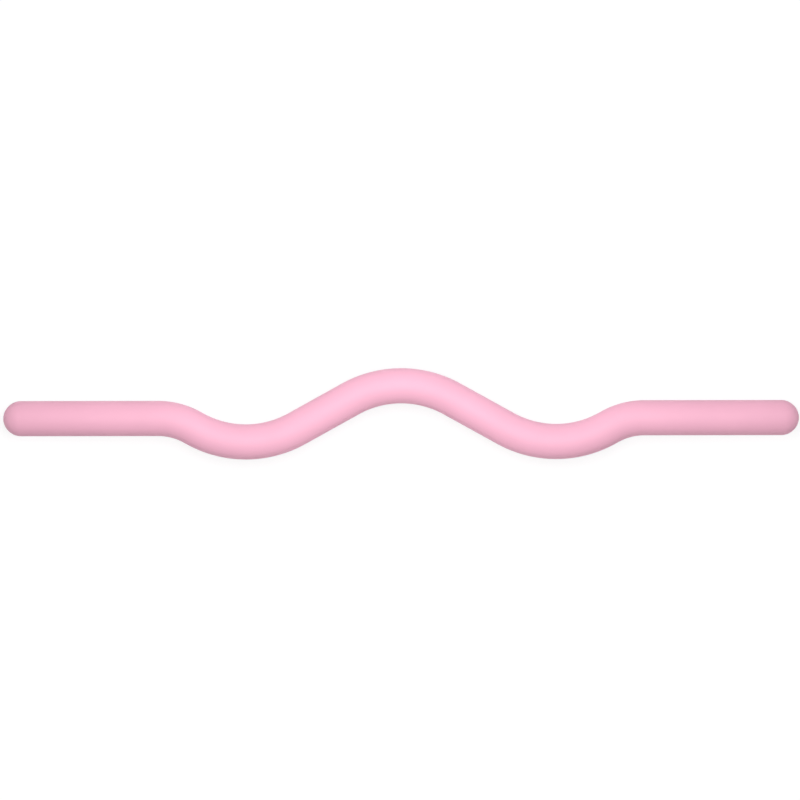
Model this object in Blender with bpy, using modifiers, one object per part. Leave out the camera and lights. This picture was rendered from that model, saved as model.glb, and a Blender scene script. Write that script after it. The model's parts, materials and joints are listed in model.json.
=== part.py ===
"""A curved training barbell: a soft silicone jacket moulded over a bent and ballasted steel tube.

The bar lies flat. X runs along it, +Y is the side that its middle bend crests towards, and +Z is
up. The origin is on the surface that the bar lies on, under the middle of its outline.
"""

from math import acos, cos, pi, radians, sin, sqrt

import bmesh
import bpy
import numpy as np
from mathutils import Vector

# Finished size of the bar
OVERALL_LENGTH = 0.910
GRIP_DIAMETER = 0.040

# Bends from the middle of the bar to one end, measured on its centreline
CREST_BEND_RADIUS = 0.120
INNER_SLOPE_ANGLE = radians(29)
INNER_SLOPE_LENGTH = 0.070
TROUGH_BEND_RADIUS = 0.120
OUTER_SLOPE_LENGTH = 0.004
OUTER_SLOPE_ANGLE = radians(29)
SHOULDER_BEND_RADIUS = 0.080

# Steel core; the end cover is the silicone between each plug's face and the tip of the bar
TUBE_DIAMETER = 0.025
TUBE_WALL = 0.002
END_COVER = 0.012
PLUG_FLANGE_THICKNESS = 0.0025
PLUG_WEB_THICKNESS = 0.0045
PLUG_CHAMFER = 0.001
SOCKET_DIAMETER = 0.008
SOCKET_DEPTH = 0.014
WAD_LENGTH = 0.012

# Buttons that close the locating holes in the tips of the jacket
BUTTON_MOUTH_DIAMETER = 0.014
BUTTON_HEAD_THICKNESS = 0.0025
STEM_ROOT_DIAMETER = 0.0056
STEM_END_CLEARANCE = 0.0015
BARB_COUNT = 3
BARB_NOTCH_LENGTH = 0.001
BARB_UNDERCUT_LENGTH = 0.0004

# Clearance between pieces that touch on the real bar, and how far a cutter runs past its cut
FIT_GAP = 0.0003
CUT_OVERRUN = 0.001

# Fineness of the jacket's outside and of everything in it. A multiple of four sides puts a facet
# at the top and bottom, and a bend is split into equal steps of about the angle given here.
# Nested pieces share their sides and steps, so that their gap is even.
SKIN_SIDES = 32
SKIN_STEP_ANGLE = radians(4.8)
CORE_SIDES = 24
CORE_STEP_ANGLE = radians(7.3)
DOME_STEPS = 10
BUTTON_DOME_STEPS = 3
SHARP_EDGE_ANGLE = radians(35)
WELD_DISTANCE = 0.000001
MERGE_DISTANCE = 0.00001

SILICONE_PINK = (0.962, 0.487, 0.638)
STEEL_GREY = (0.560, 0.565, 0.575)
PLUG_GREY = (0.640, 0.640, 0.630)
GRIT_GREY = (0.105, 0.100, 0.095)
FELT_GREY = (0.380, 0.375, 0.355)

HALF_LENGTH = OVERALL_LENGTH / 2
GRIP_RADIUS = GRIP_DIAMETER / 2
TUBE_RADIUS = TUBE_DIAMETER / 2
BORE_RADIUS = TUBE_RADIUS - TUBE_WALL
SOCKET_RADIUS = SOCKET_DIAMETER / 2
MOUTH_RADIUS = BUTTON_MOUTH_DIAMETER / 2

# Depths below the tip of the bar, along its axis
PLUG_FACE_DEPTH = END_COVER
TUBE_END_DEPTH = PLUG_FACE_DEPTH + PLUG_FLANGE_THICKNESS + FIT_GAP
SOCKET_FLOOR_DEPTH = PLUG_FACE_DEPTH + SOCKET_DEPTH
PLUG_END_DEPTH = SOCKET_FLOOR_DEPTH + PLUG_WEB_THICKNESS
WAD_START_DEPTH = PLUG_END_DEPTH + FIT_GAP
WAD_END_DEPTH = WAD_START_DEPTH + WAD_LENGTH
CHARGE_START_DEPTH = WAD_END_DEPTH + FIT_GAP


def facet_turn(sides):
    """The turn about its axis that puts a round piece's facets, not its edges, up and down."""
    return pi / sides


def facet_reach(sides):
    """How far an edge lies out when the facets touch the true round, as a factor of its radius."""
    return 1 / cos(facet_turn(sides))


def dome_depth(radius):
    """How far below the tip the half-round end of the bar has this radius."""
    return GRIP_RADIUS - sqrt(GRIP_RADIUS ** 2 - radius ** 2)


HEAD_SEAT_DEPTH = dome_depth(MOUTH_RADIUS) + BUTTON_HEAD_THICKNESS


def bend_points(start, heading, radius, turn, step_angle):
    """Points along a bend of the centreline, without its start, and the heading at its end."""
    steps = max(1, round(abs(turn) / step_angle))
    side = 1 if turn > 0 else -1
    centre = start + side * radius * Vector((-sin(heading), cos(heading)))
    points = []
    for step in range(1, steps + 1):
        angle = heading + turn * step / steps
        points.append(centre + side * radius * Vector((sin(angle), -cos(angle))))
    return points, heading + turn


def half_centreline(step_angle):
    """Centreline from the top of the crest to one tip, with the middle of the outline at y = 0."""
    points = [Vector((0, 0))]
    heading = 0
    bends = (
        (0, CREST_BEND_RADIUS, -INNER_SLOPE_ANGLE),
        (INNER_SLOPE_LENGTH, TROUGH_BEND_RADIUS, INNER_SLOPE_ANGLE),
        (0, TROUGH_BEND_RADIUS, OUTER_SLOPE_ANGLE),
        (OUTER_SLOPE_LENGTH, SHOULDER_BEND_RADIUS, -OUTER_SLOPE_ANGLE),
    )
    for straight, radius, turn in bends:
        if straight:
            points.append(points[-1] + straight * Vector((cos(heading), sin(heading))))
        arc, heading = bend_points(points[-1], heading, radius, turn, step_angle)
        points.extend(arc)
    points.append(Vector((HALF_LENGTH, points[-1].y)))
    middle = (max(point.y for point in points) + min(point.y for point in points)) / 2
    return [point - Vector((0, middle)) for point in points]


SKIN_LINE = half_centreline(SKIN_STEP_ANGLE)
CORE_LINE = half_centreline(CORE_STEP_ANGLE)
END_AXIS_Y = CORE_LINE[-1].y


def bar_path(half_line, start_x, end_x):
    """Centreline points from one x to another, at the stations of both halves in between."""
    half_x = [point.x for point in half_line]
    half_y = [point.y for point in half_line]
    stations = [-x for x in reversed(half_x[1:])] + half_x
    between = [x for x in stations if start_x < x < end_x]
    return [
        Vector((x, float(np.interp(abs(x), half_x, half_y)), 0))
        for x in [start_x, *between, end_x]
    ]


def remove_scene_objects():
    for item in list(bpy.data.objects):
        bpy.data.objects.remove(item, do_unlink=True)


def new_collection(name):
    collection = bpy.data.collections.new(name)
    bpy.context.scene.collection.children.link(collection)
    return collection


def new_material(name, colour, roughness, metallic=0.0):
    material = bpy.data.materials.new(name)
    material.use_nodes = True
    shader = material.node_tree.nodes["Principled BSDF"]
    shader.inputs["Base Color"].default_value = (*colour, 1)
    shader.inputs["Roughness"].default_value = roughness
    shader.inputs["Metallic"].default_value = metallic
    return material


def shade_round(mesh):
    mesh.shade_smooth()
    mesh.set_sharp_from_angle(angle=SHARP_EDGE_ANGLE)


def swept(name, collection, points, radius, sides=CORE_SIDES, factors=None):
    """A round bar along the points; factors scale its radius point by point."""
    curve = bpy.data.curves.new(name, "CURVE")
    curve.dimensions = "3D"
    curve.bevel_depth = radius * facet_reach(sides)
    # A bevel has four sides more than twice its resolution
    curve.bevel_resolution = sides // 2 - 2
    curve.use_fill_caps = True
    spline = curve.splines.new("POLY")
    spline.points.add(len(points) - 1)
    for index, point in enumerate(points):
        spline.points[index].co = (*point, 1)
        spline.points[index].tilt = facet_turn(sides)
        if factors:
            spline.points[index].radius = factors[index]
    guide = bpy.data.objects.new(name + "_path", curve)
    guide.location = (0, 0, GRIP_RADIUS)
    collection.objects.link(guide)
    bpy.context.view_layer.update()
    evaluated = guide.evaluated_get(bpy.context.evaluated_depsgraph_get())
    mesh = bpy.data.meshes.new_from_object(evaluated)
    mesh.name = name
    weld = bmesh.new()
    weld.from_mesh(mesh)
    bmesh.ops.remove_doubles(weld, verts=weld.verts, dist=WELD_DISTANCE)
    bmesh.ops.recalc_face_normals(weld, faces=weld.faces)
    weld.to_mesh(mesh)
    weld.free()
    shade_round(mesh)
    piece = bpy.data.objects.new(name, mesh)
    piece.matrix_world = guide.matrix_world
    collection.objects.link(piece)
    bpy.data.objects.remove(guide, do_unlink=True)
    bpy.data.curves.remove(curve)
    return piece


def turned_mesh(name, profile):
    """An open line of (radius, height) points that runs down the outer side of a turned piece."""
    mesh = bpy.data.meshes.new(name)
    reach = facet_reach(CORE_SIDES)
    vertices = [(radius * reach, 0, height) for radius, height in profile]
    edges = [(index, index + 1) for index in range(len(profile) - 1)]
    mesh.from_pydata(vertices, edges, [])
    return mesh


def turned(name, collection, mesh, end_frame):
    """A turned piece on the axis of one end of the bar, its own height measured from the tip."""
    piece = bpy.data.objects.new(name, mesh)
    piece.parent = end_frame
    piece.rotation_euler = (0, 0, facet_turn(CORE_SIDES))
    collection.objects.link(piece)
    screw = piece.modifiers.new("Turn", "SCREW")
    screw.axis = "Z"
    screw.angle = 2 * pi
    screw.steps = CORE_SIDES
    screw.render_steps = CORE_SIDES
    screw.use_merge_vertices = True
    screw.merge_threshold = MERGE_DISTANCE
    screw.use_smooth_shade = False
    return piece


def cut(piece, cutter):
    cutter.hide_render = True
    cutter.display_type = "WIRE"
    boolean = piece.modifiers.new("Cut " + cutter.name, "BOOLEAN")
    boolean.operation = "DIFFERENCE"
    boolean.solver = "EXACT"
    boolean.object = cutter


def add_end_frames(collection):
    """An empty at each tip, its own Z pointing out of the bar along the axis of that end."""
    frames = {}
    for side, direction in (("left", -1), ("right", 1)):
        frame = bpy.data.objects.new(side + "_end", None)
        frame.location = (direction * HALF_LENGTH, END_AXIS_Y, GRIP_RADIUS)
        frame.rotation_euler = (0, direction * pi / 2, 0)
        collection.objects.link(frame)
        frames[side] = frame
    return frames


def jacket_outline():
    """Path and radius factors of the jacket's outside; its domes stop inside the mouths cut later."""
    dome_start = HALF_LENGTH - GRIP_RADIUS
    path = bar_path(SKIN_LINE, -dome_start, dome_start)
    factors = [1.0] * len(path)
    last_angle = acos(SOCKET_RADIUS / GRIP_RADIUS)
    for step in range(1, DOME_STEPS + 1):
        angle = last_angle * step / DOME_STEPS
        reach = dome_start + GRIP_RADIUS * sin(angle)
        path.insert(0, Vector((-reach, END_AXIS_Y, 0)))
        path.append(Vector((reach, END_AXIS_Y, 0)))
        factors.insert(0, cos(angle))
        factors.append(cos(angle))
    return path, factors


def mouth_profile():
    """The stepped hole in a tip: a recess for the button's head over a hole down to the plug."""
    recess_floor = -HEAD_SEAT_DEPTH - FIT_GAP
    hole_end = -PLUG_FACE_DEPTH - CUT_OVERRUN
    return [
        (0, CUT_OVERRUN),
        (MOUTH_RADIUS, CUT_OVERRUN),
        (MOUTH_RADIUS, recess_floor),
        (SOCKET_RADIUS, recess_floor),
        (SOCKET_RADIUS, hole_end),
        (0, hole_end),
    ]


def add_grip_jacket(parts, cutters, end_frames, material):
    path, factors = jacket_outline()
    jacket = swept("grip_jacket", parts, path, GRIP_RADIUS, SKIN_SIDES, factors)
    jacket.data.materials.append(material)
    cavity_reach = HALF_LENGTH - PLUG_FACE_DEPTH + FIT_GAP
    cavity_path = bar_path(CORE_LINE, -cavity_reach, cavity_reach)
    cavity = swept("jacket_cavity", cutters, cavity_path, TUBE_RADIUS + FIT_GAP)
    cut(jacket, cavity)
    mouth = turned_mesh("jacket_mouth", mouth_profile())
    for side, end_frame in end_frames.items():
        cut(jacket, turned("jacket_mouth_" + side, cutters, mouth, end_frame))


def add_core_tube(parts, cutters, material):
    reach = HALF_LENGTH - TUBE_END_DEPTH
    tube = swept("core_tube", parts, bar_path(CORE_LINE, -reach, reach), TUBE_RADIUS)
    tube.data.materials.append(material)
    bore_reach = reach + CUT_OVERRUN
    bore_path = bar_path(CORE_LINE, -bore_reach, bore_reach)
    cut(tube, swept("tube_bore", cutters, bore_path, BORE_RADIUS))


def plug_profile():
    """From the floor of the locating socket, over the flange and down the shank in the tube."""
    shank_radius = BORE_RADIUS - FIT_GAP
    flange_back = -PLUG_FACE_DEPTH - PLUG_FLANGE_THICKNESS
    return [
        (0, -SOCKET_FLOOR_DEPTH),
        (SOCKET_RADIUS, -SOCKET_FLOOR_DEPTH),
        (SOCKET_RADIUS, -PLUG_FACE_DEPTH),
        (TUBE_RADIUS - PLUG_CHAMFER, -PLUG_FACE_DEPTH),
        (TUBE_RADIUS, -PLUG_FACE_DEPTH - PLUG_CHAMFER),
        (TUBE_RADIUS, flange_back),
        (shank_radius, flange_back),
        (shank_radius, -PLUG_END_DEPTH + PLUG_CHAMFER),
        (shank_radius - PLUG_CHAMFER, -PLUG_END_DEPTH),
        (0, -PLUG_END_DEPTH),
    ]


def button_profile():
    """A domed head, flush with the jacket, and a stem with barbs that catch in the plug's socket."""
    head_radius = MOUTH_RADIUS - FIT_GAP
    barb_radius = SOCKET_RADIUS - FIT_GAP
    root_radius = STEM_ROOT_DIAMETER / 2
    barb_pitch = (SOCKET_DEPTH - STEM_END_CLEARANCE) / BARB_COUNT
    profile = []
    for step in range(BUTTON_DOME_STEPS + 1):
        radius = head_radius * step / BUTTON_DOME_STEPS
        profile.append((radius, -dome_depth(radius)))
    profile += [
        (head_radius, -HEAD_SEAT_DEPTH),
        (barb_radius, -HEAD_SEAT_DEPTH),
        (barb_radius, -PLUG_FACE_DEPTH),
    ]
    for barb in range(BARB_COUNT):
        top = -PLUG_FACE_DEPTH - barb * barb_pitch
        profile += [
            (root_radius, top - BARB_NOTCH_LENGTH),
            (barb_radius, top - BARB_NOTCH_LENGTH - BARB_UNDERCUT_LENGTH),
        ]
    stem_end = -SOCKET_FLOOR_DEPTH + STEM_END_CLEARANCE
    profile += [(root_radius, stem_end), (0, stem_end)]
    return profile


def add_turned_pair(name, parts, profile, end_frames, material):
    mesh = turned_mesh(name, profile)
    mesh.materials.append(material)
    for side, end_frame in end_frames.items():
        turned(name + "_" + side, parts, mesh, end_frame)


def add_ballast(parts, grit, felt):
    radius = BORE_RADIUS - FIT_GAP
    reach = HALF_LENGTH - CHARGE_START_DEPTH
    charge = swept("ballast_charge", parts, bar_path(CORE_LINE, -reach, reach), radius)
    charge.data.materials.append(grit)
    wad_inner = HALF_LENGTH - WAD_END_DEPTH
    wad_outer = HALF_LENGTH - WAD_START_DEPTH
    for side, path in (
        ("left", bar_path(CORE_LINE, -wad_outer, -wad_inner)),
        ("right", bar_path(CORE_LINE, wad_inner, wad_outer)),
    ):
        wad = swept("ballast_wad_" + side, parts, path, radius)
        wad.data.materials.append(felt)


def build():
    remove_scene_objects()
    parts = new_collection("curved_barbell")
    cutters = new_collection("cutters")
    end_frames = add_end_frames(parts)
    silicone = new_material("pink_silicone", SILICONE_PINK, roughness=0.6)
    tube_steel = new_material("tube_steel", STEEL_GREY, roughness=0.4, metallic=1.0)
    plug_steel = new_material("plug_steel", PLUG_GREY, roughness=0.35, metallic=1.0)
    grit = new_material("steel_grit", GRIT_GREY, roughness=0.8)
    felt = new_material("grey_felt", FELT_GREY, roughness=0.95)
    add_grip_jacket(parts, cutters, end_frames, silicone)
    add_core_tube(parts, cutters, tube_steel)
    add_turned_pair("core_plug", parts, plug_profile(), end_frames, plug_steel)
    add_turned_pair("end_button", parts, button_profile(), end_frames, silicone)
    add_ballast(parts, grit, felt)


build()
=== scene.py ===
"""Looks of a curved training barbell: pink silicone moulded over a bent and ballasted steel tube.

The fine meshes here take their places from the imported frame, in metres. The bar lies on a pale
studio floor and the camera looks straight down on it.
"""

import json
from math import acos, ceil, cos, pi, radians, sin, sqrt

import bmesh
import bpy
import numpy as np
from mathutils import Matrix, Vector


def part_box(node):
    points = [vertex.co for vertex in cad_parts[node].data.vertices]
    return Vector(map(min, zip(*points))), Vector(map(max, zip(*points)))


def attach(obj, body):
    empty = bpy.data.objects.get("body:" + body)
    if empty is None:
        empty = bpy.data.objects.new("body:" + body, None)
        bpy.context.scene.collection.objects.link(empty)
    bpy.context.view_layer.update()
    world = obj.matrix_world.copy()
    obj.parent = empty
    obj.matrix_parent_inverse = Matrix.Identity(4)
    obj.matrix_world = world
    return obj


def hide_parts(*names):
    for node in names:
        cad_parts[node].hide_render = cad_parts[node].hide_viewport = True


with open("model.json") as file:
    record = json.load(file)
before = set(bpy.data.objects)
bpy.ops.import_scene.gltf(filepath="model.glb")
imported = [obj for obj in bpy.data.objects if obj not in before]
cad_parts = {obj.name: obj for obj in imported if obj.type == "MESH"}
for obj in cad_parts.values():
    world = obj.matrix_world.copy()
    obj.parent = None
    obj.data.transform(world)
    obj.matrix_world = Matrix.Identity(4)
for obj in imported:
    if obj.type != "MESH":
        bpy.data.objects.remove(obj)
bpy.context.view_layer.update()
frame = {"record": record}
SLOT_COLOURS = {entry["slot"]: entry["base_color"] for entry in frame["record"]["materials"]}
BODY = "root"

# Places read from the frame
JACKET_LOW, JACKET_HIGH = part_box("grip_jacket")
BUTTON_LOW, BUTTON_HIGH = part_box("end_button_right")
PLUG_LOW, PLUG_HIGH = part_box("core_plug_right")
WAD_LOW, WAD_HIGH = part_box("ballast_wad_right")
TUBE_LOW, TUBE_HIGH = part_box("core_tube")
CHARGE_LOW, CHARGE_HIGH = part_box("ballast_charge")
HALF_LENGTH = BUTTON_HIGH.x
GRIP_RADIUS = (JACKET_HIGH.z - JACKET_LOW.z) / 2
AXIS_HEIGHT = JACKET_LOW.z + GRIP_RADIUS
END_AXIS_Y = (BUTTON_LOW.y + BUTTON_HIGH.y) / 2
TUBE_RADIUS = (TUBE_HIGH.z - TUBE_LOW.z) / 2
CHARGE_RADIUS = (CHARGE_HIGH.z - CHARGE_LOW.z) / 2
CHARGE_REACH = CHARGE_HIGH.x

# Depths below the tip of the bar, along its axis
PLUG_FACE_DEPTH = HALF_LENGTH - PLUG_HIGH.x
PLUG_END_DEPTH = HALF_LENGTH - PLUG_LOW.x
TUBE_END_DEPTH = HALF_LENGTH - TUBE_HIGH.x
STEM_END_DEPTH = HALF_LENGTH - BUTTON_LOW.x
WAD_START_DEPTH = HALF_LENGTH - WAD_HIGH.x
WAD_END_DEPTH = HALF_LENGTH - WAD_LOW.x

# Bends from the middle of the bar to one end, on its centreline, as the part has them
CREST_BEND_RADIUS = 0.120
SLOPE_ANGLE = radians(29)
INNER_SLOPE_LENGTH = 0.070
TROUGH_BEND_RADIUS = 0.120
OUTER_SLOPE_LENGTH = 0.004
SHOULDER_BEND_RADIUS = 0.080

# Sizes inside the jacket, as the part has them
TUBE_WALL = 0.002
PLUG_CHAMFER = 0.001
SOCKET_RADIUS = 0.004
SOCKET_DEPTH = 0.014
MOUTH_RADIUS = 0.007
HEAD_THICKNESS = 0.0025
STEM_ROOT_RADIUS = 0.0028
BARB_COUNT = 3
BARB_NOTCH_LENGTH = 0.001
BARB_UNDERCUT_LENGTH = 0.0004
FIT_GAP = 0.0003

# Small forms that are only here: the button's seam, the felt's crown and softened edges
BUTTON_SEAM = 0.00012
WAD_CROWN = 0.0008
MOULDED_EDGE = 0.0003
TURNED_EDGE = 0.00015

# Line that the two halves of the mould leave along the bar, in the plane of its bends
PARTING_HEIGHT = 0.00012
PARTING_HALF_WIDTH = 0.00045

# Fineness of the meshes
ROUND_SIDES = 96
BEND_STEP = radians(2)
STRAIGHT_STEP = 0.007
DOME_STEPS = 28
BUTTON_DOME_STEPS = 14
PARTING_STEPS = 3
EDGE_STEPS = 4
SHARP_ANGLE = radians(40)
CORNER_ANGLE = radians(20)
WELD_DISTANCE = 1e-7

# The UV map that each mesh carries, for textures to be baked through
MAP_NAME = "OFBake"
MAP_MARGIN = 0.004

# Two places that each mesh keeps for its points, for the grain of steel: where the point would lie
# on a straight bar, and how far along and off the axis it is, as on a lathe
STRAIGHT_PLACE = "straight_place"
LATHE_PLACE = "lathe_place"

# Where the bar lies in the photograph's frame, and the lens that looks at it
PHOTO_WIDTH_PIXELS = 800
TIP_TO_TIP_PIXELS = 795.1
PHOTO_RIGHT_OF_MIDDLE_PIXELS = 1.06
PHOTO_BELOW_MIDDLE_PIXELS = 13.75
PHOTO_ROLL = 0.0015
LENS = 100
SENSOR = 36

# Lights; a level of 1 is as bright on a surface that faces the light as a world of strength 1
SOFTBOX_Y = 0.17
SOFTBOX_HEIGHT = 1.02
SOFTBOX_LENGTH = 0.5
SOFTBOX_WIDTH = 0.8
SOFTBOX_LEVEL = 1.03
END_LIGHT_X = 1.1
END_LIGHT_HEIGHT = 0.16
END_LIGHT_LENGTH = 0.5
END_LIGHT_WIDTH = 0.3
END_LIGHT_LEVEL = 0.06
WORLD_LEVEL = 0.20

# Floor
FLOOR_HALF_SIZE = 12
FLOOR_WHITE = 1.03
FLOOR_SHADOW_GREY = 0.18
FLOOR_BOUNCE_GREY = 0.88

# Most of a noise field lies between these
NOISE_LOW = 0.3
NOISE_HIGH = 0.7


def centreline_runs():
    """Length and curvature of each run of the centreline, from the middle of the bar to an end."""
    return (
        (CREST_BEND_RADIUS * SLOPE_ANGLE, -1 / CREST_BEND_RADIUS),
        (INNER_SLOPE_LENGTH, 0),
        (2 * TROUGH_BEND_RADIUS * SLOPE_ANGLE, 1 / TROUGH_BEND_RADIUS),
        (OUTER_SLOPE_LENGTH, 0),
        (SHOULDER_BEND_RADIUS * SLOPE_ANGLE, -1 / SHOULDER_BEND_RADIUS),
    )


def half_centreline():
    """Points (x, y, heading) from the middle of the bar to the end of its shoulder bend."""
    x, y, heading = 0.0, 0.0, 0.0
    points = [(x, y, heading)]
    for length, curvature in centreline_runs():
        turn = abs(length * curvature)
        steps = ceil(max(length / STRAIGHT_STEP, turn / BEND_STEP))
        step = length / steps
        chord = step
        if curvature:
            chord = 2 * sin(step * curvature / 2) / curvature
        for _ in range(steps):
            direction = heading + step * curvature / 2
            x += chord * cos(direction)
            y += chord * sin(direction)
            heading += step * curvature
            points.append((x, y, heading))
    lift = END_AXIS_Y - y
    return [(px, py + lift, ph) for px, py, ph in points]


def bar_stations(reach):
    """Centres and sideways directions of rings along the bar, from -reach to +reach in x."""
    half = half_centreline()
    shoulder_x = half[-1][0]
    steps = ceil((reach - shoulder_x) / STRAIGHT_STEP)
    for step in range(1, steps + 1):
        half.append((shoulder_x + (reach - shoulder_x) * step / steps, END_AXIS_Y, 0.0))
    mirrored = [(-x, y, -heading) for x, y, heading in reversed(half[1:])]
    return [
        ((x, y, AXIS_HEIGHT), (-sin(heading), cos(heading), 0))
        for x, y, heading in mirrored + half
    ]


def end_stations(side, depths):
    """The same for rings at these depths below the tip of one end; side is -1 or 1."""
    return [((side * (HALF_LENGTH - depth), END_AXIS_Y, AXIS_HEIGHT), (0, 1, 0)) for depth in depths]


def even_angles():
    return np.arange(ROUND_SIDES) * 2 * pi / ROUND_SIDES


def off_parting(angles):
    """How far round the bar each direction is from the nearer of the two mould lines."""
    return np.abs((angles + pi / 2) % pi - pi / 2)


def parted_angles():
    """Even directions round the jacket, with closer ones at the two lines of the mould."""
    half_width = PARTING_HALF_WIDTH / GRIP_RADIUS
    fine = half_width * np.arange(-PARTING_STEPS, PARTING_STEPS + 1) / PARTING_STEPS
    coarse = even_angles()
    coarse = coarse[off_parting(coarse) > 2 * half_width]
    return np.sort(np.concatenate([coarse, fine % (2 * pi), fine + pi]))


def parting_bump(angles):
    """Height of the mould lines at each direction, a smooth ridge."""
    across = off_parting(angles) * GRIP_RADIUS / PARTING_HALF_WIDTH
    return PARTING_HEIGHT * np.where(across < 1, (1 + np.cos(pi * np.minimum(across, 1))) / 2, 0)


def ring_points(stations, radii, angles):
    """The points of a ring round each station.

    A radius is one number for a round ring, or one for each of its points.
    """
    centres = np.array([centre for centre, _ in stations])
    across = np.array([direction for _, direction in stations], float)
    around = across[:, None, :] * np.cos(angles)[None, :, None]
    around = around + np.array((0.0, 0.0, 1.0)) * np.sin(angles)[None, :, None]
    reach = np.array([np.broadcast_to(radius, len(angles)) for radius in radii])
    return centres[:, None, :] + reach[:, :, None] * around


def straight_stations(stations):
    """Rings as far apart as these, but along a straight axis and from x = 0."""
    steps = np.diff([centre for centre, _ in stations], axis=0)
    lengths = np.linalg.norm(steps, axis=1) * np.sign(steps[:, 0])
    return [((x, 0, 0), (0, 1, 0)) for x in np.append(0, np.cumsum(lengths))]


def keep_grain_places(mesh, stations, radii, angles):
    """Each point's place on a straight bar and its place on a lathe, as attributes."""
    straight = straight_stations(stations)
    # In direction 0 all round, a ring keeps only its place along the axis and its radius
    for name, directions in ((STRAIGHT_PLACE, angles), (LATHE_PLACE, 0 * angles)):
        places = ring_points(straight, radii, directions)
        attribute = mesh.attributes.new(name, "FLOAT_VECTOR", "POINT")
        attribute.data.foreach_set("vector", places.ravel())


def map_bands(points):
    """Left, right, foot and height on a square map of each band between one ring and the next.

    The bands lie side by side, in as many rows as bring the map nearest to the true proportions.
    """
    lengths = np.linalg.norm(np.diff(points, axis=0), axis=2).mean(axis=1)
    girths = np.linalg.norm(points - np.roll(points, 1, axis=1), axis=2).sum(axis=1)
    ends = np.cumsum(lengths)
    starts = ends - lengths
    count = max(1, round(sqrt(ends[-1] / girths.max())))
    rows = np.minimum((starts / ends[-1] * count).astype(int), count - 1)
    height = 1 / count - 2 * MAP_MARGIN
    bands = []
    for row in range(count):
        foot = row / count + MAP_MARGIN
        edges = np.append(starts[rows == row], ends[rows == row][-1])
        edges = MAP_MARGIN + (1 - 2 * MAP_MARGIN) * (edges - edges[0]) / np.ptp(edges)
        bands += [(left, right, foot, height) for left, right in zip(edges, edges[1:])]
    return bands


def skin(name, stations, radii, angles, closed=False):
    """A mesh through rings of points; closed joins the last ring to the first.

    It has a map, slit along the first of the angles, which is 0, and its places for the grain.
    """
    points = ring_points(stations, radii, angles)
    rings, sides = points.shape[:2]
    turns = np.append(angles, 2 * pi) / (2 * pi)
    bands = map_bands(np.concatenate([points, points[:1]]) if closed else points)
    faces = []
    places = []
    for ring, (left, right, foot, height) in enumerate(bands):
        here = ring * sides
        there = (ring + 1) % rings * sides
        for side in range(sides):
            beside = (side + 1) % sides
            faces.append((here + side, here + beside, there + beside, there + side))
            low = foot + height * turns[side]
            high = foot + height * turns[side + 1]
            places += [left, low, left, high, right, high, right, low]
    mesh = bpy.data.meshes.new(name)
    mesh.from_pydata(points.reshape(-1, 3).tolist(), [], faces)
    mesh.uv_layers.new(name=MAP_NAME).uv.foreach_set("vector", places)
    keep_grain_places(mesh, stations, radii, angles)
    weld = bmesh.new()
    weld.from_mesh(mesh)
    bmesh.ops.remove_doubles(weld, verts=weld.verts, dist=WELD_DISTANCE)
    bmesh.ops.recalc_face_normals(weld, faces=weld.faces)
    weld.to_mesh(mesh)
    weld.free()
    mesh.shade_smooth()
    mesh.set_sharp_from_angle(angle=SHARP_ANGLE)
    return mesh


def softened(profile, size):
    """The line of (radius, depth) points with its corners rounded off over this size."""
    points = [Vector(point) for point in profile]
    result = [points[0]]
    for before, corner, after in zip(points, points[1:], points[2:]):
        back = before - corner
        ahead = after - corner
        if pi - back.angle(ahead) < CORNER_ANGLE:
            result.append(corner)
            continue
        start = corner + back.normalized() * min(size, back.length / 2)
        end = corner + ahead.normalized() * min(size, ahead.length / 2)
        for step in range(EDGE_STEPS + 1):
            share = step / EDGE_STEPS
            result.append(start.lerp(corner, share).lerp(corner.lerp(end, share), share))
    result.append(points[-1])
    return result


def dome_depth(radius):
    """How far below the tip the half-round end of the bar has this radius."""
    return GRIP_RADIUS - sqrt(GRIP_RADIUS ** 2 - radius ** 2)


def add_piece(mesh, finish, *nodes):
    """A piece of the scene that stands for these nodes of the part."""
    piece = bpy.data.objects.new(mesh.name, mesh)
    bpy.context.scene.collection.objects.link(piece)
    mesh.materials.append(finish.material)
    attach(piece, BODY)
    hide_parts(*nodes)


def jacket_tip_profile():
    """From the start of the dome over the rim of the mouth and down its hole into the cavity."""
    rim_angle = acos((MOUTH_RADIUS + MOULDED_EDGE) / GRIP_RADIUS)
    dome = []
    for step in range(1, DOME_STEPS + 1):
        angle = rim_angle * step / DOME_STEPS
        dome.append(Vector((GRIP_RADIUS * cos(angle), GRIP_RADIUS * (1 - sin(angle)))))
    recess_floor = dome_depth(MOUTH_RADIUS) + HEAD_THICKNESS + FIT_GAP
    cavity_end = PLUG_FACE_DEPTH - FIT_GAP
    mouth = softened([
        dome[-1],
        (MOUTH_RADIUS, dome_depth(MOUTH_RADIUS)),
        (MOUTH_RADIUS, recess_floor),
        (SOCKET_RADIUS, recess_floor),
        (SOCKET_RADIUS, cavity_end),
        (TUBE_RADIUS + FIT_GAP, cavity_end),
        (TUBE_RADIUS + FIT_GAP, TUBE_END_DEPTH),
    ], MOULDED_EDGE)
    return dome + mouth[1:]


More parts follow.
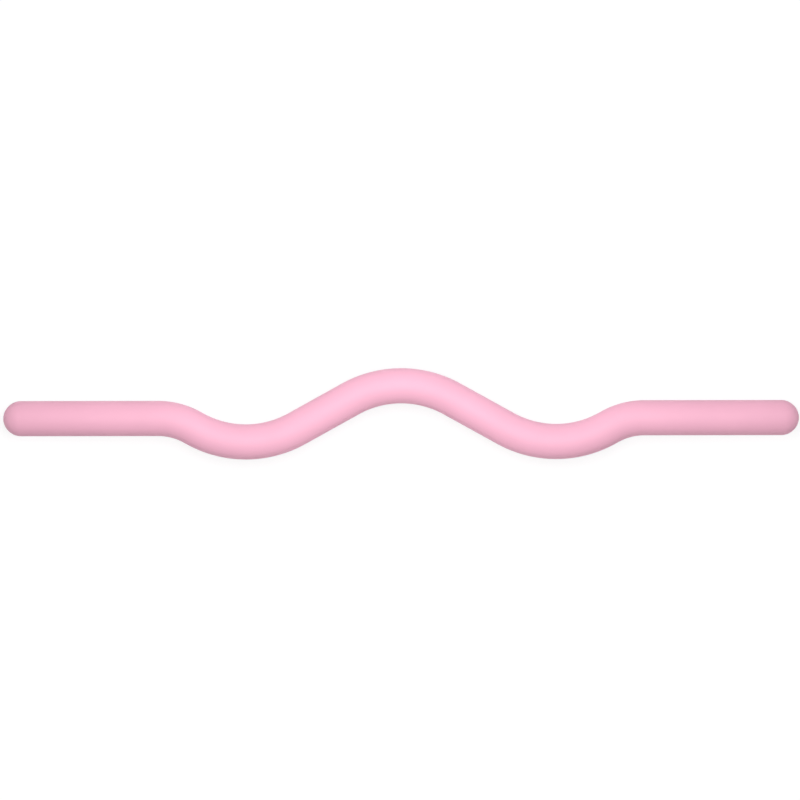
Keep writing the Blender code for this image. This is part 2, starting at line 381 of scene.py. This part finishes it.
def add_jacket(finish):
    """One closed skin: the outside from left to right, the right tip, the cavity and the left tip."""
    angles = parted_angles()
    bump = parting_bump(angles)
    tip = jacket_tip_profile()
    depths = [point.y for point in tip]
    tip_radii = []
    for index, point in enumerate(tip):
        on_dome = index < DOME_STEPS - 1
        tip_radii.append(point.x + bump * point.x / GRIP_RADIUS if on_dome else point.x)
    outside = bar_stations(HALF_LENGTH - GRIP_RADIUS)
    cavity = bar_stations(HALF_LENGTH - TUBE_END_DEPTH)[1:-1]
    stations = outside + end_stations(1, depths) + cavity[::-1] + end_stations(-1, depths)[::-1]
    radii = [GRIP_RADIUS + bump] * len(outside) + tip_radii
    radii += [TUBE_RADIUS + FIT_GAP] * len(cavity) + tip_radii[::-1]
    add_piece(skin("silicone_jacket", stations, radii, angles, closed=True), finish, "grip_jacket")


def button_profile():
    """A domed head flush with the jacket, and a stem with barbs for the socket in the plug."""
    head_radius = MOUTH_RADIUS - BUTTON_SEAM
    barb_radius = SOCKET_RADIUS - FIT_GAP
    barb_pitch = (STEM_END_DEPTH - PLUG_FACE_DEPTH) / BARB_COUNT
    underside = dome_depth(MOUTH_RADIUS) + HEAD_THICKNESS
    profile = []
    for step in range(BUTTON_DOME_STEPS + 1):
        radius = head_radius * step / BUTTON_DOME_STEPS
        profile.append((radius, dome_depth(radius)))
    profile += [
        (head_radius, underside),
        (barb_radius, underside),
        (barb_radius, PLUG_FACE_DEPTH),
    ]
    for barb in range(BARB_COUNT):
        notch = PLUG_FACE_DEPTH + barb * barb_pitch + BARB_NOTCH_LENGTH
        profile += [(STEM_ROOT_RADIUS, notch), (barb_radius, notch + BARB_UNDERCUT_LENGTH)]
    profile += [(STEM_ROOT_RADIUS, STEM_END_DEPTH), (0, STEM_END_DEPTH)]
    return softened(profile, TURNED_EDGE)


def plug_profile():
    """From the floor of the locating socket, over the flange and down the shank in the tube."""
    flange_back = TUBE_END_DEPTH - FIT_GAP
    return softened([
        (0, PLUG_FACE_DEPTH + SOCKET_DEPTH),
        (SOCKET_RADIUS, PLUG_FACE_DEPTH + SOCKET_DEPTH),
        (SOCKET_RADIUS, PLUG_FACE_DEPTH),
        (TUBE_RADIUS - PLUG_CHAMFER, PLUG_FACE_DEPTH),
        (TUBE_RADIUS, PLUG_FACE_DEPTH + PLUG_CHAMFER),
        (TUBE_RADIUS, flange_back),
        (CHARGE_RADIUS, flange_back),
        (CHARGE_RADIUS, PLUG_END_DEPTH - PLUG_CHAMFER),
        (CHARGE_RADIUS - PLUG_CHAMFER, PLUG_END_DEPTH),
        (0, PLUG_END_DEPTH),
    ], TURNED_EDGE)


def wad_profile():
    """A felt disc with crowned faces and soft edges."""
    half_radius = CHARGE_RADIUS / 2
    # A round crown has fallen by a quarter of its height halfway out
    half_crown = WAD_CROWN / 4
    return softened([
        (0, WAD_START_DEPTH),
        (half_radius, WAD_START_DEPTH + half_crown),
        (CHARGE_RADIUS, WAD_START_DEPTH + WAD_CROWN),
        (CHARGE_RADIUS, WAD_END_DEPTH - WAD_CROWN),
        (half_radius, WAD_END_DEPTH - half_crown),
        (0, WAD_END_DEPTH),
    ], WAD_CROWN)


def add_turned_pair(name, profile, finish, node):
    """The same turned piece on the axis of both ends."""
    depths = [point.y for point in profile]
    radii = [point.x for point in profile]
    for word, side in (("_left", -1), ("_right", 1)):
        mesh = skin(name + word, end_stations(side, depths), radii, even_angles())
        add_piece(mesh, finish, node + word)


def add_tube(finish):
    stations = bar_stations(HALF_LENGTH - TUBE_END_DEPTH)
    radii = [TUBE_RADIUS] * len(stations) + [TUBE_RADIUS - TUBE_WALL] * len(stations)
    mesh = skin("steel_core_tube", stations + stations[::-1], radii, even_angles(), closed=True)
    add_piece(mesh, finish, "core_tube")


def add_charge(finish):
    stations = bar_stations(CHARGE_REACH)
    radii = [0] + [CHARGE_RADIUS] * len(stations) + [0]
    stations = [stations[0], *stations, stations[-1]]
    mesh = skin("packed_grit_charge", stations, radii, even_angles())
    add_piece(mesh, finish, "ballast_charge")


def add_node(tree, kind, inputs=(), **settings):
    """A new node; each of its inputs is given as a value or as another node's output."""
    node = tree.nodes.new("ShaderNode" + kind)
    for name, value in settings.items():
        setattr(node, name, value)
    for name, value in dict(inputs).items():
        if isinstance(value, bpy.types.NodeSocket):
            tree.links.new(value, node.inputs[name])
        else:
            node.inputs[name].default_value = value
    return node


class Finish:
    """A procedural material for one of the record's slots, round the colour that it has there."""

    def __init__(self, name, slot, values=()):
        self.slot = slot
        self.material = bpy.data.materials.new(name)
        self.material.use_nodes = True
        self.tree = self.material.node_tree
        self.shader = self.tree.nodes["Principled BSDF"]
        for key, value in dict(values).items():
            self.shader.inputs[key].default_value = value
        self.place = add_node(self.tree, "TexCoord").outputs["Object"]
        self.normal = None

    def noise(self, period, detail=2.0, stretch=(1, 1, 1), place=None):
        """A cloudy field whose blobs are about this long, in metres, and longer where stretched.

        It lies in space, or in the places that this attribute of the mesh gives.
        """
        scale = [1 / period / factor for factor in stretch]
        source = self.place
        if place:
            source = add_node(self.tree, "Attribute", attribute_name=place).outputs["Vector"]
        mapping = add_node(self.tree, "Mapping", {"Vector": source, "Scale": scale})
        inputs = {"Vector": mapping.outputs["Vector"], "Scale": 1.0, "Detail": detail}
        return add_node(self.tree, "TexNoise", inputs).outputs["Fac"]

    def cells(self, period):
        """Distance from the nearest of many scattered points, as a share of about this spacing."""
        inputs = {"Vector": self.place, "Scale": 1 / period}
        return add_node(self.tree, "TexVoronoi", inputs).outputs["Distance"]

    def ranged(self, field, first, last, start=NOISE_LOW, end=NOISE_HIGH):
        """A number that goes from first to last as the field goes from start to end."""
        inputs = {"Value": field, "From Min": start, "From Max": end, "To Min": first, "To Max": last}
        return add_node(self.tree, "MapRange", inputs).outputs["Result"]

    def tint(self, field, first, last, start=NOISE_LOW, end=NOISE_HIGH):
        """Base colour from one multiple of the slot's colour to another across the field."""
        ramp = add_node(self.tree, "ValToRGB", {"Fac": field})
        for element, position, factor in zip(ramp.color_ramp.elements, (start, end), (first, last)):
            element.position = position
            element.color = (*[factor * level for level in SLOT_COLOURS[self.slot]], 1)
        self.tree.links.new(ramp.outputs["Color"], self.shader.inputs["Base Color"])

    def roughen(self, field, first, last, **between):
        roughness = self.ranged(field, first, last, **between)
        self.tree.links.new(roughness, self.shader.inputs["Roughness"])

    def relief(self, field, height):
        """Bump of this height in metres, on top of any before it."""
        bump = add_node(self.tree, "Bump", {"Height": field, "Strength": 1.0, "Distance": height})
        if self.normal:
            self.tree.links.new(self.normal, bump.inputs["Normal"])
        self.normal = bump.outputs["Normal"]
        self.tree.links.new(self.normal, self.shader.inputs["Normal"])


def silicone():
    """Matte pastel silicone: a faint cloudiness in the pigment and a very fine moulded grain."""
    finish = Finish("pink_silicone_matte", "pink_silicone", {"IOR": 1.43, "Specular IOR Level": 0.45})
    finish.tint(finish.noise(period=0.045, detail=3), first=0.985, last=1.015)
    finish.roughen(finish.noise(period=0.012, detail=3), first=0.55, last=0.62)
    finish.relief(finish.noise(period=0.006), height=0.00003)
    finish.relief(finish.noise(period=0.0006, detail=3), height=0.00005)
    return finish


def drawn_steel():
    """Bare cold-drawn tube: grey steel with dull patches and fine lines that follow the bends."""
    finish = Finish("tube_steel_drawn", "tube_steel", {"Metallic": 1.0})
    lines = finish.noise(period=0.0006, detail=3, stretch=(40, 1, 1), place=STRAIGHT_PLACE)
    finish.tint(finish.noise(period=0.03, detail=4), first=0.84, last=1.05)
    finish.roughen(lines, first=0.3, last=0.48)
    finish.relief(lines, height=0.00001)
    return finish


def turned_steel():
    """Bare turned steel with fine tool marks round its axis, rings on its flat faces."""
    finish = Finish("plug_steel_turned", "plug_steel", {"Metallic": 1.0})
    marks = finish.noise(period=0.0004, place=LATHE_PLACE)
    finish.tint(finish.noise(period=0.006, detail=3), first=0.94, last=1.06)
    finish.roughen(marks, first=0.24, last=0.38)
    finish.relief(marks, height=0.00001)
    return finish


def grit():
    """Dark packed steel grit, each grain about a millimetre, with a painted highlight on top of each
    grain and painted shade between.
    """
    finish = Finish("steel_grit_packed", "steel_grit", {"Metallic": 0.7})
    grain_relief_and_painted_shade = finish.cells(period=0.0011)
    # Painted light: the colour is paler on top of each grain and darker between grains, as light and
    # shade would fall there
    finish.tint(grain_relief_and_painted_shade, first=2.2, last=0.43, start=0, end=0.8)
    finish.roughen(grain_relief_and_painted_shade, first=0.45, last=0.7, start=0, end=0.8)
    finish.relief(finish.ranged(grain_relief_and_painted_shade, first=1, last=0, start=0, end=0.9), height=0.0003)
    return finish


def felt():
    """Pressed grey wool felt: mottled, with short fibres lying across each other."""
    finish = Finish("grey_felt_pressed", "grey_felt", {"Sheen Weight": 0.3})
    fibres = finish.noise(period=0.0005, detail=5, stretch=(1, 6, 3))
    finish.tint(finish.noise(period=0.0012, detail=5), first=0.79, last=1.24)
    finish.roughen(fibres, first=0.88, last=1.0)
    finish.relief(fibres, height=0.0002)
    return finish


def add_camera():
    """Straight above the bar, as far off as puts the bar's tips where the photograph has them."""
    pixel = 2 * HALF_LENGTH / TIP_TO_TIP_PIXELS
    distance = PHOTO_WIDTH_PIXELS * pixel * LENS / SENSOR
    data = bpy.data.cameras.new("camera")
    data.lens = LENS
    data.sensor_width = SENSOR
    camera = bpy.data.objects.new("camera", data)
    camera.location = (
        -PHOTO_RIGHT_OF_MIDDLE_PIXELS * pixel,
        PHOTO_BELOW_MIDDLE_PIXELS * pixel,
        AXIS_HEIGHT + distance,
    )
    camera.rotation_euler = (0, 0, -PHOTO_ROLL)
    bpy.context.scene.collection.objects.link(camera)
    bpy.context.scene.camera = camera


def add_soft_light(name, place, length, width, level):
    """A rectangle of light that faces the bar and that the camera doesn't see."""
    aim = Vector((0, 0, AXIS_HEIGHT)) - Vector(place)
    data = bpy.data.lights.new(name, "AREA")
    data.shape = "RECTANGLE"
    data.size = length
    data.size_y = width
    data.energy = level * (pi * aim.length) ** 2
    light = bpy.data.objects.new(name, data)
    light.location = place
    light.rotation_euler = aim.to_track_quat("-Z", "Y").to_euler()
    light.visible_camera = False
    bpy.context.scene.collection.objects.link(light)


def add_lights():
    """A softbox above, a little towards the side of the crest, and a faint low light past each tip."""
    above = (0, SOFTBOX_Y, SOFTBOX_HEIGHT)
    add_soft_light("softbox", above, SOFTBOX_LENGTH, SOFTBOX_WIDTH, SOFTBOX_LEVEL)
    for word, side in (("left", -1), ("right", 1)):
        beyond = (side * END_LIGHT_X, 0, END_LIGHT_HEIGHT)
        add_soft_light("end_light_" + word, beyond, END_LIGHT_LENGTH, END_LIGHT_WIDTH, END_LIGHT_LEVEL)


def grey(level):
    return (level, level, level, 1)


def by_ray(tree, shown, lighting):
    """One shader for rays that look at a surface or mirror it, and one for the light that it gives."""
    rays = add_node(tree, "LightPath").outputs
    inputs = {0: rays["Is Glossy Ray"], 1: rays["Is Transmission Ray"]}
    mirrored = add_node(tree, "Math", inputs, operation="MAXIMUM").outputs["Value"]
    inputs = {0: rays["Is Camera Ray"], 1: mirrored}
    looking = add_node(tree, "Math", inputs, operation="MAXIMUM").outputs["Value"]
    inputs = {"Fac": looking, 1: lighting.outputs[0], 2: shown.outputs[0]}
    return add_node(tree, "MixShader", inputs).outputs["Shader"]


def add_world():
    """An even white surround that lights the bar faintly."""
    world = bpy.data.worlds.new("studio")
    bpy.context.scene.world = world
    world.use_nodes = True
    tree = world.node_tree
    tree.nodes.remove(tree.nodes["Background"])
    shown = add_node(tree, "Background", {"Color": grey(1), "Strength": 1.0})
    lighting = add_node(tree, "Background", {"Color": grey(1), "Strength": WORLD_LEVEL})
    tree.links.new(by_ray(tree, shown, lighting), tree.nodes["World Output"].inputs["Surface"])


def softbox_share(tree):
    """How bright the softbox makes a floor centred under it, as a share of the brightness there.

    The share is 1 / (1 + (distance / height) ** 2) ** 2.
    """
    place = add_node(tree, "TexCoord").outputs["Object"]
    share = add_node(tree, "VectorMath", {0: place, 1: place}, operation="DOT_PRODUCT").outputs["Value"]
    for operation, number in (("DIVIDE", SOFTBOX_HEIGHT ** 2), ("ADD", 1.0), ("POWER", -2.0)):
        share = add_node(tree, "Math", {0: share, 1: number}, operation=operation).outputs["Value"]
    return share


def floor_material():
    """White all over where it is looked at, but for the bar's shadow, and pale in the light it gives.

    Its glow makes up what the softbox and the world leave short of white where nothing shades it.
    """
    material = bpy.data.materials.new("studio_floor")
    material.use_nodes = True
    tree = material.node_tree
    tree.nodes.remove(tree.nodes["Principled BSDF"])
    far_glow = FLOOR_WHITE - FLOOR_SHADOW_GREY * WORLD_LEVEL
    near_glow = far_glow - FLOOR_SHADOW_GREY * SOFTBOX_LEVEL
    inputs = {"Value": softbox_share(tree), "To Min": far_glow, "To Max": near_glow}
    glow = add_node(tree, "MapRange", inputs).outputs["Result"]
    emission = add_node(tree, "Emission", {"Color": grey(1), "Strength": glow})
    lit = add_node(tree, "BsdfDiffuse", {"Color": grey(FLOOR_SHADOW_GREY)})
    shown = add_node(tree, "AddShader", {0: emission.outputs[0], 1: lit.outputs[0]})
    lighting = add_node(tree, "BsdfDiffuse", {"Color": grey(FLOOR_BOUNCE_GREY)})
    tree.links.new(by_ray(tree, shown, lighting), tree.nodes["Material Output"].inputs["Surface"])
    return material


def add_floor():
    mesh = bpy.data.meshes.new("studio_floor")
    grid = bmesh.new()
    bmesh.ops.create_grid(grid, x_segments=1, y_segments=1, size=FLOOR_HALF_SIZE)
    grid.to_mesh(mesh)
    grid.free()
    mesh.materials.append(floor_material())
    floor = bpy.data.objects.new("studio_floor", mesh)
    floor.location = (0, SOFTBOX_Y, 0)
    bpy.context.scene.collection.objects.link(floor)


pink = silicone()
add_jacket(pink)
add_turned_pair("silicone_button", button_profile(), pink, "end_button")
add_tube(drawn_steel())
add_turned_pair("steel_plug", plug_profile(), turned_steel(), "core_plug")
add_turned_pair("felt_wad", wad_profile(), felt(), "ballast_wad")
add_charge(grit())
add_camera()
add_lights()
add_world()
add_floor()
bpy.context.scene.view_settings.view_transform = "Standard"
